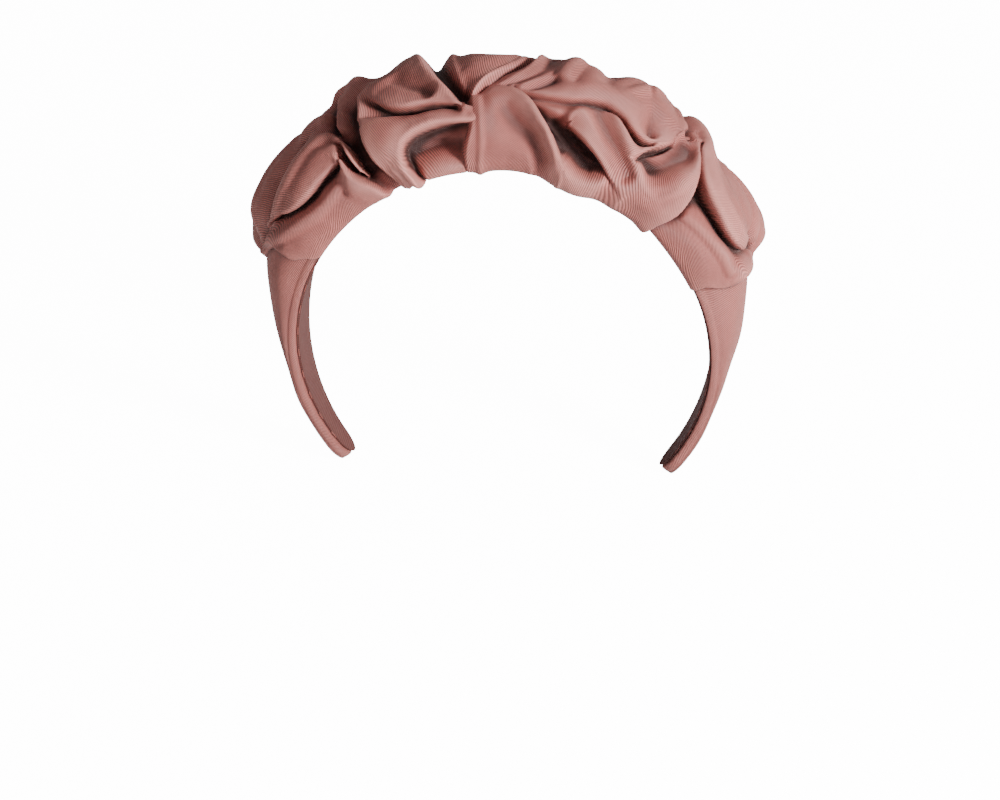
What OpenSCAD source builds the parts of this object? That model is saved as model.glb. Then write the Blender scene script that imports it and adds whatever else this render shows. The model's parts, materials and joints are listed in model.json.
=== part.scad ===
// Knotted headband: a sprung hoop with a foam crescent on it, a base cover, and two lengths of
// ribbed cloth that cross in a knot at the crown and are tacked down in four more places.
// The hoop's inner circle is centred on the origin. X runs across the head, Y from front to back
// (the forehead side is -Y), and Z up through the crown.

/* [Head] */
// Radius of the circle that grips the head, to the face of the lining
head_r = 74; // [60:0.5:90]
// Angle from the crown to each tip
tip_angle = 130; // [115:1:140]

/* [Hoop] */
// Thickness of the sprung hoop
hoop_t = 1.6; // [1:0.1:3]
// Width of the hoop at the crown
hoop_w = 40; // [28:1:50]
// Width of the hoop just above its rounded tips
tip_w = 14; // [9:1:20]
// Height above the head circle's centre at which the hoop starts to narrow
taper_z = 34; // [20:1:40]

/* [Lining] */
// Thickness of the lining ribbon
lining_t = 0.8; // [0.4:0.1:1.5]
// How far the lining's edge stays inside the hoop's edge
lining_inset = 1; // [0.5:0.1:3]
// Channel left beside the lining for the slip stitches
stitch_channel = 0.8; // [0.6:0.1:1.5]

/* [Padding and base cover] */
// Height of the foam crescent at the crown
foam_h = 18; // [8:0.5:22]
// Height of the foam crescent at its thin ends
foam_end_h = 1; // [0.5:0.1:3]
// Angle from the crown to the thin ends of the foam
foam_angle = 105; // [100:5:120]
// Thickness of the base cover's cloth
cover_t = 0.8; // [0.4:0.1:1.4]
// How far the base cover turns in under the hoop
turn_in = 6; // [3:0.5:8]

/* [Drape] */
// Radial build of the draped cloth above the base cover at the crown
drape_t = 8; // [4:0.5:12]
// How far the draped cloth stands out past the base cover's edge, front and back
drape_side = 7; // [3:0.5:10]
// Angle from the crown to the end of each drape
drape_angle = 79; // [70:1:88]
// Thickness of the drape's turned-under edge
drape_edge_t = 0.6; // [0.4:0.1:1]
// Depth of the dimple at each tack
tack_depth = 4.5; // [2:0.5:6]

/* [Thread] */
// Thickness of the tacking thread
thread_d = 0.9; // [0.5:0.1:1.4]
// Length of the bar that each tack shows
tack_len = 4; // [2:0.5:6]
// Thickness of the thread in the slip stitches
stitch_d = 0.4; // [0.2:0.05:0.5]
// Length that each slip stitch shows
stitch_len = 3; // [2:0.5:5]
// Spacing of the slip stitches along the lining
stitch_pitch = 9; // [6:1:14]

/* [Hidden] */

ply_gap = 0.2;      // clearance between two layers that lie on each other
dome_power = 0.75;  // below 1 makes the padded section fuller than an ellipse
sweep_step = 5;     // degrees between two sections of a long sweep
dome_steps = 12;    // spans over the dome of a padded section
drape_rows = 18;    // spans along one drape
tip_rows = 5;       // extra sections round each tip
tip_room = 1;       // degrees that the cover reaches past the hoop's tip
far = 2 * head_r;   // longer than anything that it has to reach past

// Radii of the layers, from the head outwards.
edge_r = head_r + ply_gap;
cover_r = head_r + lining_t + ply_gap;
hoop_r = cover_r + cover_t + ply_gap;
foam_r = hoop_r + hoop_t + ply_gap;

// The hoop's outline seen from the side: straight, then a taper to a round tip.
tip_r = tip_w / 2;
tip_z = (hoop_r + hoop_t / 2) * cos(tip_angle) + tip_r;
tip_span = tip_r / (hoop_r * sin(tip_angle)) * 180 / PI;

// The slip stitches' thread never fills more than half of its channel.
stitch_thread = min(stitch_d, stitch_channel / 2);

// Where the cloth is tacked down: degrees from the crown, and how far over the dome
// (-1 is the front edge, 0 the ridge and 1 the back edge).
centre_tack_at = [-6, -0.34];
left_upper_at = [-40, -0.36];
left_lower_at = [-66, -0.22];
right_upper_at = [42, -0.02];
right_lower_at = [67, -0.26];
tacks = [centre_tack_at, left_upper_at, left_lower_at, right_upper_at, right_lower_at];

function mix(a, b, s) = a + (b - a) * s;
function clamp01(s) = max(0, min(1, s));
function ease(s) = let (c = clamp01(s)) c * c * (3 - 2 * c);
function at(angle, y, r) = [r * sin(angle), y, r * cos(angle)];

// Half the hoop's width at an angle from the crown, less an inset.
function half_width(angle, inset = 0) =
    let (z = (hoop_r + hoop_t / 2) * cos(angle),
         w = z > taper_z ? hoop_w / 2
           : z > tip_z ? mix(tip_r, hoop_w / 2, (z - tip_z) / (taper_z - tip_z))
           : sqrt(max(0, tip_r * tip_r - (z - tip_z) * (z - tip_z))))
    max(0.4, w - inset);

// Height of the foam at an angle from the crown.
function foam_height(angle) =
    mix(foam_h, foam_end_h, ease((abs(angle) - 50) / (foam_angle - 50)));

function dome_y(t, half) = half * sin(90 * t);
function dome_z(t, high) = high * pow(max(0, cos(90 * t)), dome_power);

// Radial build and half width of the drapes at an angle from the crown.
function drape_fade(angle) = ease((drape_angle + 2 - abs(angle)) / 24);
function drape_build(angle) = mix(2, drape_t, drape_fade(angle));
function drape_half(angle) =
    half_width(angle) + ply_gap + cover_t + mix(2, drape_side, drape_fade(angle));

// How much of a dimple a point has from the tacks round it, from 0 to 1.
function dimple(angle, t) =
    let (reach = 9,
         d = [for (k = tacks) norm([(angle - k[0]) * foam_r * PI / 180, (t - k[1]) * hoop_w]) / reach])
    max([for (x = d) exp(-x * x)]);

// Radius of the drape's outer face at a point on it.
function drape_r(angle, t) =
    let (cover_top = foam_height(angle) + cover_t + 2 * ply_gap)
    foam_r + dome_z(t, cover_top + drape_build(angle)) - tack_depth * dimple(angle, t);

// The two drapes cross at the centre tack: the line between them leans from front left to back right.
function crossing(t) = centre_tack_at[0] + 8 * (t - centre_tack_at[1]);

// A closed shell between two sheets of points that have the same rows and columns.
module shell_between(outer, inner) {
    rows = len(outer);
    cols = len(outer[0]);
    count = rows * cols;
    points = [for (sheet = [outer, inner]) for (row = sheet) for (p = row) p];
    function o(i, j) = i * cols + j;
    function n(i, j) = count + o(i, j);
    function quad(a, b, c, d) = [[a, b, c], [a, c, d]];
    faces = [
        for (i = [0 : rows - 2], j = [0 : cols - 2])
            each quad(o(i, j), o(i, j + 1), o(i + 1, j + 1), o(i + 1, j)),
        for (i = [0 : rows - 2], j = [0 : cols - 2])
            each quad(n(i, j), n(i + 1, j), n(i + 1, j + 1), n(i, j + 1)),
        for (i = [0 : rows - 2]) each quad(o(i, 0), o(i + 1, 0), n(i + 1, 0), n(i, 0)),
        for (i = [0 : rows - 2])
            each quad(o(i + 1, cols - 1), o(i, cols - 1), n(i, cols - 1), n(i + 1, cols - 1)),
        for (j = [0 : cols - 2]) each quad(o(0, j + 1), o(0, j), n(0, j), n(0, j + 1)),
        for (j = [0 : cols - 2])
            each quad(o(rows - 1, j), o(rows - 1, j + 1), n(rows - 1, j + 1), n(rows - 1, j))
    ];
    polyhedron(points = points, faces = faces);
}

// Side outline of the hoop or its lining, drawn with the tip down and extruded across the head.
module side_outline(inset) {
    r = tip_r - inset;
    half = hoop_w / 2 - inset;
    tip_arc = [for (a = [180 : 15 : 360]) [r * cos(a), tip_z + r * sin(a)]];
    rotate([90, 0, 90])
        linear_extrude(2 * far, center = true)
            polygon(concat([[-half, far], [-half, taper_z]], tip_arc, [[half, taper_z], [half, far]]));
}

// A bent strip of the hoop's outline between two radii.
module bent_strip(inner_r, thick, inset) {
    intersection() {
        rotate([90, 0, 0])
            difference() {
                cylinder(r = inner_r + thick, h = 2 * hoop_w, center = true, $fn = 180);
                cylinder(r = inner_r, h = 3 * hoop_w, center = true, $fn = 180);
            }
        side_outline(inset);
    }
}

module hoop() {
    color("#3a3634") bent_strip(hoop_r, hoop_t, 0);
}

module hoop_lining() {
    color("#5d3f3c") bent_strip(head_r, lining_t, lining_inset);
}

// Foam crescent on the hoop's outer face, flat side down.
module foam_pad() {
    edge_rise = 0.3;
    angles = [for (a = [-foam_angle : sweep_step : foam_angle + 0.01]) a];
    function half(a) = half_width(a, 0.3);
    top = [for (a = angles) [for (k = [0 : dome_steps])
        let (t = mix(-1, 1, k / dome_steps))
        at(a, dome_y(t, half(a)), foam_r + edge_rise + dome_z(t, foam_height(a) - edge_rise))]];
    base = [for (a = angles) [for (k = [0 : dome_steps])
        at(a, dome_y(mix(-1, 1, k / dome_steps), half(a)), foam_r)]];
    color("#efe9dd") shell_between(top, base);
}

// Cloth wrapped over the foam, round the hoop's edges and in under the hoop.
module base_cover() {
    end = tip_angle + tip_room;
    neck = end - tip_span;
    rows = round(2 * neck / sweep_step);
    tip = [for (k = [0 : tip_rows]) end - tip_span * (1 - cos(90 * k / tip_rows))];
    angles = concat([for (k = [0 : tip_rows]) -tip[k]],
                    [for (i = [1 : rows - 1]) mix(-neck, neck, i / rows)],
                    [for (k = [tip_rows : -1 : 0]) tip[k]]);
    function width(a) = half_width(max(0, abs(a) - tip_room));
    function over(a) = abs(a) > foam_angle ? foam_end_h : foam_height(a);
    function channel(a, grow) = width(a) + ply_gap + grow;
    function lip(a) = max(0.2, width(a) - turn_in);
    function sheet(a, grow) = concat(
        [at(a, -lip(a), cover_r + cover_t - grow), at(a, -channel(a, grow), cover_r + cover_t - grow)],
        [for (k = [0 : dome_steps])
            let (t = mix(-1, 1, k / dome_steps))
            at(a, dome_y(t, channel(a, grow)), foam_r + dome_z(t, over(a) + ply_gap + grow))],
        [at(a, channel(a, grow), cover_r + cover_t - grow), at(a, lip(a), cover_r + cover_t - grow)]);
    color("#b0736a")
        shell_between([for (a = angles) sheet(a, cover_t)], [for (a = angles) sheet(a, 0)]);
}

// One drape, from the crossing at the crown to its end on the arm.
module drape(side) {
    function angle(s, t) = mix(crossing(t) + side * ply_gap / 2, side * drape_angle, s);
    function lip(a) = half_width(a, lining_inset) + stitch_channel;
    function bed_half(a) = half_width(a) + 2 * ply_gap + cover_t;
    function lips(s, t, half, r) =
        let (a = angle(s, t))
        t < 0 ? [at(a, -lip(a), r), at(a, -half(a), r)] : [at(a, half(a), r), at(a, lip(a), r)];
    function sheet(s, half, r, rise) = concat(
        lips(s, -1, half, r),
        [for (k = [0 : dome_steps])
            let (t = mix(-1, 1, k / dome_steps), a = angle(s, t))
            at(a, dome_y(t, half(a)), rise(a, t))],
        lips(s, 1, half, r));
    bed = function (a, t) foam_r + dome_z(t, foam_height(a) + cover_t + 2 * ply_gap);
    face = function (a, t) drape_r(a, t);
    outer_half = function (a) drape_half(a);
    inner_half = function (a) bed_half(a);
    steps = [for (i = [0 : drape_rows]) i / drape_rows];
    outer = [for (s = steps) sheet(s, outer_half, edge_r, face)];
    inner = [for (s = steps) sheet(s, inner_half, edge_r + drape_edge_t, bed)];
    order = side > 0 ? [0 : drape_rows] : [drape_rows : -1 : 0];
    shell_between([for (i = order) outer[i]], [for (i = order) inner[i]]);
}

module left_drape() {
    color("#b87f77") drape(-1);
}

module right_drape() {
    color("#c1877e") drape(1);
}

// A tack: a short bar of thread with a knot at each end, lying in its dimple.
module tack(place, turn) {
    seat = drape_r(place[0], place[1]) + thread_d;
    color("#8f5a53")
        translate(at(place[0], dome_y(place[1], drape_half(place[0])), seat))
            rotate([0, place[0], 0])
                rotate([0, 90, turn]) {
                    cylinder(d = thread_d, h = tack_len, center = true, $fn = 24);
                    for (end = [-1, 1])
                        translate([0, 0, end * tack_len / 2]) sphere(d = 1.4 * thread_d, $fn = 24);
                }
}

// A straight length of thread from p to q.
module thread(p, q) {
    run = q - p;
    translate(p)
        rotate([0, acos(run.z / norm(run)), atan2(run.y, run.x)])
            cylinder(d = stitch_thread, h = norm(run), $fn = 16);
}

// Slip stitches along one edge of the lining, from tip to tip.
module edge_stitches(side) {
    reach = tip_angle - tip_span - 1;
    count = floor(reach * PI / 180 * head_r / stitch_pitch);
    half_span = stitch_len / 2 / head_r * 180 / PI;
    function seam(a) =
        at(a, side * (half_width(a, lining_inset) + stitch_channel / 2), head_r + lining_t / 2);
    color("#8f5a53")
        for (i = [-count : count]) {
            a = i * reach / count;
            thread(seam(a - half_span), seam(a + half_span));
        }
}

hoop();
hoop_lining();
foam_pad();
base_cover();
left_drape();
right_drape();
tack(centre_tack_at, 60);  // centre_tack
tack(left_upper_at, 40);  // left_upper_tack
tack(left_lower_at, 20);  // left_lower_tack
tack(right_upper_at, -30);  // right_upper_tack
tack(right_lower_at, -50);  // right_lower_tack
edge_stitches(-1);  // front_edge_stitches
edge_stitches(1);  // back_edge_stitches
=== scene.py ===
import bpy
import bmesh
import json
import math
import numpy as np
from mathutils import Matrix, Vector


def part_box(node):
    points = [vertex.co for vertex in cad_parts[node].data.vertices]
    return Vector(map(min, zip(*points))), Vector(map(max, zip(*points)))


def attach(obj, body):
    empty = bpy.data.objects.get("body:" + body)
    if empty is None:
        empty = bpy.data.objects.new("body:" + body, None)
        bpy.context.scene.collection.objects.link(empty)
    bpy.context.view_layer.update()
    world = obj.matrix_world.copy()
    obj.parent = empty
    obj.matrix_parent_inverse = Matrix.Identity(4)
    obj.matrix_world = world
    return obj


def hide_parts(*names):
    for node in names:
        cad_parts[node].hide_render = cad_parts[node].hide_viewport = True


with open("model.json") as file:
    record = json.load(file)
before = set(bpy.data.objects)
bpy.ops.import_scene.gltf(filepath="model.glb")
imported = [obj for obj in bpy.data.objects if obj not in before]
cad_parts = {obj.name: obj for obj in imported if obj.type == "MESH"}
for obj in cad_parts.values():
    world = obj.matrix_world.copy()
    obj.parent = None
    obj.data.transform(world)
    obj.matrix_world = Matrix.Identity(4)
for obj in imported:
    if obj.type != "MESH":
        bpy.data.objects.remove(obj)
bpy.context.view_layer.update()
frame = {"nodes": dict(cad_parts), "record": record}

MM = 0.001

# ---------------------------------------------------------------- sizes from the frame, in mm
head_r = frame["record"]["mounts"][0]["dims"]["r_mm"]
hoop_lo, hoop_hi = [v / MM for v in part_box("hoop")]
hoop_half = hoop_hi.y
foam_r = hoop_hi.z + 0.2
foam_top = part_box("foam_pad")[1].z / MM - foam_r
foam_angle = 105.0
foam_end = 1.0
edge_r = head_r + 0.6
# The arms narrow from taper_z down to the rounded tips, whose width is measured at width_r.
width_r = foam_r - 0.6
tip_radius = 7.0
tip_z = hoop_lo.z + tip_radius
taper_z = 34.0
# The base cover stands this far off the hoop's edges, and closes round the tips.
cover_room = 1.0
tip_angle = math.degrees(math.acos((hoop_lo.z - cover_room) / width_r))

# Coordinates on the padded arch: phi in degrees from the crown (+ is the wearer's left), and
# c in mm round the section, 0 on the ridge, minus towards the forehead, plus towards the back.
crest = 42.0
deg_mm = 1.6
# The drapes' edges turn in round turn_radius at the crest and go on under the hoop for turn_in.
turn_radius = foam_r - edge_r
turn_mm = turn_radius * math.pi / 2
turn_in = 8.0
drape_stop = 81.0
drape_fade = 24.0
drape_span = 75
grid_step = 0.5
# Folds stand up by this share of the heights that their lines give.
relief = 1.12

# The cloth is settled at a size that suits the solver, and no point may move further than the cap.
SIM_SCALE = 0.01
SIM_FRAMES = 18
SIM_CAP = 1.2

# The floor and the sky glow to the camera only, so that the ground behind the band is plain white.
SKY = 0.16
SEEN_SKY = 20.0
SEEN_FLOOR = 14.0


def ease(s):
    """A smooth step from 0 to 1."""
    c = np.clip(s, 0, 1)
    return c * c * (3 - 2 * c)


def mix(a, b, s):
    """From a to b as s goes from 0 to 1."""
    return a + (b - a) * s


def half_width(phi):
    """Half the hoop's width at an angle from the crown."""
    z = width_r * np.cos(np.radians(phi))
    tapered = mix(tip_radius, hoop_half, (z - tip_z) / (taper_z - tip_z))
    tip = np.sqrt(np.clip(tip_radius**2 - (z - tip_z) ** 2, 0.16, None))
    return np.where(z > taper_z, hoop_half, np.where(z > tip_z, tapered, tip))


def foam_height(phi):
    """How thick the foam is on the ridge, at an angle from the crown."""
    return mix(foam_top, foam_end, ease((np.abs(phi) - 50) / (foam_angle - 50)))


def section(phi, c, lift, half, high):
    """A point lifted off the padded section at phi and c, whose dome is half wide and high tall."""
    side = np.where(c < 0, -1.0, 1.0)
    reach = np.abs(c)
    dome = np.clip(reach / crest, 0, 1) * math.pi / 2
    turn = np.clip((reach - crest) / turn_mm, 0, 1) * math.pi / 2
    run = np.clip(reach - crest - turn_mm, 0, None)
    y = half * np.sin(dome) - turn_radius * (1 - np.cos(turn)) - run
    r = foam_r + high * np.cos(dome) ** 0.75 - turn_radius * np.sin(turn)
    tilt = dome + turn
    y = side * (y + lift * np.sin(tilt))
    r = r + lift * np.cos(tilt)
    a = np.radians(phi)
    return np.stack([r * np.sin(a), y, r * np.cos(a)], axis=-1)


# ---------------------------------------------------------------- folds
def spline(pts, steps=8):
    """Catmull-Rom points through pts."""
    p = np.vstack([2 * pts[0] - pts[1], pts, 2 * pts[-1] - pts[-2]])
    out = []
    for i in range(1, len(p) - 2):
        for t in np.linspace(0, 1, steps, endpoint=False):
            out.append(0.5 * (2 * p[i] + (p[i + 1] - p[i - 1]) * t
                              + (2 * p[i - 1] - 5 * p[i] + 4 * p[i + 1] - p[i + 2]) * t**2
                              + (3 * p[i] - p[i - 1] - 3 * p[i + 1] + p[i + 2]) * t**3))
    out.append(pts[-1])
    return np.array(out)


class Folds:
    """Cloth over the arch as a blown membrane, held along ridges, creases and laps.

    Every line is a list of (phi, c, height) points. A lap has a fourth value: the height of the
    cloth that it lies over, and its high side is on the left of the line's direction."""

    def __init__(self, phi, c):
        self.phi, self.c = phi, c
        self.held = np.full(phi.shape, np.nan)
        self.shift = np.zeros(phi.shape + (2,))

    def near(self, points, reach):
        """Signed distance (+ on the left), the line's values and its left normal, close to it."""
        pts = np.array(points, float)
        pts[:, 0] *= deg_mm
        line = spline(pts)
        here = np.stack([self.phi * deg_mm, self.c], axis=-1)
        lo, hi = line[:, :2].min(0) - reach, line[:, :2].max(0) + reach
        mask = ((here >= lo) & (here <= hi)).all(-1)
        p = here[mask]
        best = np.full(len(p), 1e9)
        signed = np.zeros(len(p))
        values = np.zeros((len(p), line.shape[1] - 2))
        normal = np.zeros((len(p), 2))
        beyond = np.zeros(len(p), bool)
        last = len(line) - 2
        for k, (a, b) in enumerate(zip(line[:-1], line[1:])):
            run = b[:2] - a[:2]
            size = max(np.hypot(*run), 1e-6)
            free = ((p - a[:2]) @ run) / size**2
            along = np.clip(free, 0, 1)
            gap = p - (a[:2] + along[:, None] * run)
            dist = np.hypot(gap[:, 0], gap[:, 1])
            left = np.array([-run[1], run[0]]) / size
            closer = dist < best
            best = np.where(closer, dist, best)
            signed = np.where(closer, np.where(gap @ left >= 0, dist, -dist), signed)
            values = np.where(closer[:, None], mix(a[2:], b[2:], along[:, None]), values)
            normal = np.where(closer[:, None], left, normal)
            past = ((free < 0) & (k == 0)) | ((free > 1) & (k == last))
            beyond = np.where(closer, past, beyond)
        return mask, signed, values, normal, beyond

    def hold(self, mask, where, height, pick):
        """Fixes heights along a line. pick chooses between an older height and the new one."""
        old = self.held[mask]
        new = np.where(np.isnan(old), height, pick(np.nan_to_num(old), height))
        self.held[mask] = np.where(where, new, old)

    def ridge(self, points, radius=1.2):
        """A rounded crest. It never lowers what is already held there."""
        mask, d, values, _, beyond = self.near(points, radius + 1)
        cap = values[:, 0] - 0.5 * d * d / radius
        self.hold(mask, (np.abs(d) < radius) & ~beyond, cap, np.maximum)

    def crease(self, points, radius=0.9):
        """A rounded valley, which replaces what is already held there."""
        mask, d, values, _, beyond = self.near(points, radius + 1)
        cup = values[:, 0] + 0.35 * d * d / radius
        self.hold(mask, (np.abs(d) < radius) & ~beyond, cup, lambda old, new: new)

    def lap(self, points, lean=1.0, lip=1.5):
        """An edge that hangs over the cloth on its right."""
        mask, d, values, normal, beyond = self.near(points, 6)
        high, low = values[:, 0], values[:, 1]
        rise = ease((d + 0.55) / 1.1)
        round_off = 0.35 * np.clip(1 - d / lip, 0, 1) ** 2
        height = mix(low, high - round_off, rise)
        self.hold(mask, (d > -1.3) & (d < lip) & ~beyond, height, lambda old, new: new)
        amount = lean * rise * np.clip(1 - d / 5.5, 0, 1) * np.clip((high - low) / 3, 0, 1)
        push = -normal * amount[:, None]
        stronger = (np.abs(push).sum(-1) > np.abs(self.shift[mask]).sum(-1)) & ~beyond
        self.shift[mask] = np.where(stronger[:, None], push, self.shift[mask])

    def blow(self, shape, order, pressure=0.06, rounds=260):
        """Fills in between the lines: a membrane under pressure, on a shape = (rows, cols) grid."""
        held = self.held[order].reshape(shape)
        edge = np.abs(self.c[order].reshape(shape)) > crest + 5
        held = np.where(edge, 0.0, held)
        fixed = ~np.isnan(held)
        held = held * relief
        h = np.where(fixed, held, np.nanmean(held))
        checker = (np.add.outer(np.arange(shape[0]), np.arange(shape[1])) % 2).astype(bool)
        source = pressure * grid_step**2 / 4
        for _ in range(rounds):
            for colour in (checker, ~checker):
                wide = np.pad(h, 1, mode="edge")
                mean = (wide[:-2, 1:-1] + wide[2:, 1:-1] + wide[1:-1, :-2] + wide[1:-1, 2:]) / 4
                h = np.where(colour & ~fixed, h + 1.88 * (mean + source - h), h)
        for _ in range(3):
            wide = np.pad(h, 1, mode="edge")
            mean = (wide[:-2, 1:-1] + wide[2:, 1:-1] + wide[1:-1, :-2] + wide[1:-1, 2:]) / 4
            h = mix(h, mean, 0.5)
        out = np.zeros(self.phi.shape)
        out[order] = h.ravel()
        return out


def left_folds(f):
    """The left drape's folds, from the arm to the knot."""
    # outer roll, broad roll and front lobe below the upper tack
    f.crease([(-42.5, 0, 4.5), (-45.4, -4, 1.5), (-49, -9, -0.8), (-53, -10.5, -1.5),
              (-57, -12.5, -1.8), (-61, -13, -1.8), (-66, -9, -1)], 1.7)
    f.ridge([(-72.5, -3, 2), (-69, 0, 2.2), (-64, 1, 6.8), (-58, 4, 7), (-52, 6.5, 6.6),
             (-47, 6, 6)], 3)
    f.crease([(-66, -12, -0.5), (-69, -11, 0), (-71, -12, 1)], 1)
    f.ridge([(-62, -15, 0.5), (-56, -18.5, 4.4), (-50, -18.5, 7), (-45, -16, 7.8), (-40, -13, 7),
             (-37, -14, 5)], 3)
    f.ridge([(-45, 3, 6), (-41, 1, 6.8), (-38, -2, 6.5)], 4)
    f.ridge([(-40, -34, 4), (-47, -36, 4.4), (-54, -34, 4.6), (-60, -28, 4), (-64, -20, 2.5)], 3)
    f.lap([(-63, -12, 1, 0), (-59, -18, 2.5, -0.5), (-56, -21.5, 3.8, -1), (-54, -25, 4.6, -1),
           (-51, -27.5, 5.2, -1), (-47, -28, 5.6, -1), (-43, -26.7, 5.8, -0.6), (-38, -25.5, 5.4, 0),
           (-36.5, -25, 4, 3)], 1.8)
    # the tuck at the upper tack
    f.lap([(-30.5, -46, 1.5, 0), (-33, -41, 4.5, -1), (-35.8, -34, 6.5, -2), (-36.8, -27, 6.5, -1),
           (-36.6, -19, 5.5, 2)], 1.2)
    f.lap([(-33.5, -37, 2, -3), (-34, -32, 5.5, -4), (-34.3, -26, 7.2, -4), (-35.3, -19, 7.2, -2.5),
           (-37, -13, 4, 2)], 1.2, 0.9)
    f.crease([(-36.2, 12, 3), (-36.2, 2, -1), (-36, -7, -1.5), (-36.2, -13, 1)], 0.9)
    f.ridge([(-35, 16, 5), (-34.4, 6, 7.5), (-34.2, -4, 7), (-35.2, -12, 5.2)], 0.8)
    f.crease([(-32.2, -3, 1.5), (-31.8, -14, -2), (-31.6, -24, -4), (-31.2, -34, -4)], 1.9)
    # the leaf fold and the brow over it
    f.lap([(-30, -1, 6, 3), (-29.2, -12, 7.6, -2), (-29.4, -24, 8.2, -4), (-29, -32, 7.6, -4),
           (-27.6, -38, 5.8, -1.5), (-25.6, -44, 3, 0)], 1.4)
    f.lap([(-28.4, -4, 7, 6.6), (-25.6, -9.6, 7.2, 3.4), (-23, -15, 7.6, 0.8), (-19, -17.5, 7.6, 0.2),
           (-14, -17.5, 7, 0.5), (-9, -19.5, 5.6, 1.5), (-6, -22, 4, 3)], 1.6)
    f.ridge([(-38, 10, 6.6), (-35.8, 10, 9.2), (-33, 9, 9.6), (-30.4, 8, 10.2), (-27.4, 6, 7.4),
             (-23, 4, 6.8)], 1.6)
    f.crease([(-22.5, -3, 6), (-18.6, -8.5, 4.8), (-14, -13.4, 3.8)], 1.6)
    # the loop by the panel, and its pocket
    f.lap([(-20.5, -47, 3, 0), (-22.5, -42, 6.8, -1), (-23.2, -37, 8.6, -2.5), (-22.2, -31.8, 9.2, -3),
           (-19.5, -28.4, 9, -3), (-14.5, -26.6, 8, -2), (-9, -26.4, 6.4, -0.5),
           (-4, -26.6, 4, 2)], 1.7, 2.0)
    f.crease([(-20, -34, -3.6), (-14, -34, -3), (-9, -36, -1.5)], 3)
    f.ridge([(-20, -44, 2.5), (-15, -43, 3), (-9, -43, 3)], 1.2)
    # the sharp ridge that climbs from the knot to the top, with its valley and a smaller fold
    f.ridge([(-26, 44, 1), (-22, 30, 4.5), (-19.5, 15, 8.9), (-18, 8, 9.8), (-15.7, -3, 8.8),
             (-12.7, -11, 7.6), (-9.5, -18, 6.2), (-6, -23, 4)], 1.1)
    f.crease([(-17, 26, 2.2), (-15.2, 13, 2.6), (-13.6, 3, 1.4), (-11.3, -6, 0), (-8.5, -14, -1),
              (-6, -19, 0)], 1.2)
    f.ridge([(-13.6, 30, 4), (-11.8, 15, 7.2), (-10.8, 5, 6), (-9.2, -5, 4.8), (-7.6, -12, 3.2)], 1.2)
    # the flap over the knot
    f.crease([(-10.4, 24, 4.2), (-9.8, 14, 6), (-9.4, 7, 5.6)], 0.8)
    f.ridge([(-6, -16, 4.4), (-3.8, -9.5, 5.8), (-1.4, -4, 5.6), (1.2, 3, 5.4), (3, 12, 5.8),
             (4, 30, 3.6), (3, 44, 1)], 1.1)
    f.ridge([(-6.4, 9, 6.2), (-4.4, 10.5, 6.3), (-1, 12, 6.1)], 1.5)
    # over the back
    f.ridge([(-56, 10, 5), (-54, 24, 6), (-50, 36, 4.5), (-49, 44, 1)], 3)
    f.crease([(-47, 10, 4), (-45, 24, 1), (-42, 36, 0), (-42, 44, 0)], 1.2)
    f.ridge([(-38, 14, 7), (-39, 26, 6.5), (-37, 38, 4), (-37, 45, 1)], 2.5)
    f.crease([(-32, 18, 3), (-33, 28, 1), (-33, 42, 0)], 1)
    f.ridge([(-28, 10, 7), (-29, 24, 6.5), (-29, 36, 4.5), (-31, 45, 1)], 2)
    f.crease([(-24, 14, 4), (-25, 28, 2), (-27, 42, 0)], 1)
    f.ridge([(-7, 20, 3.2), (-8, 30, 4), (-9, 38, 3), (-9, 46, 1)], 2)


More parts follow.
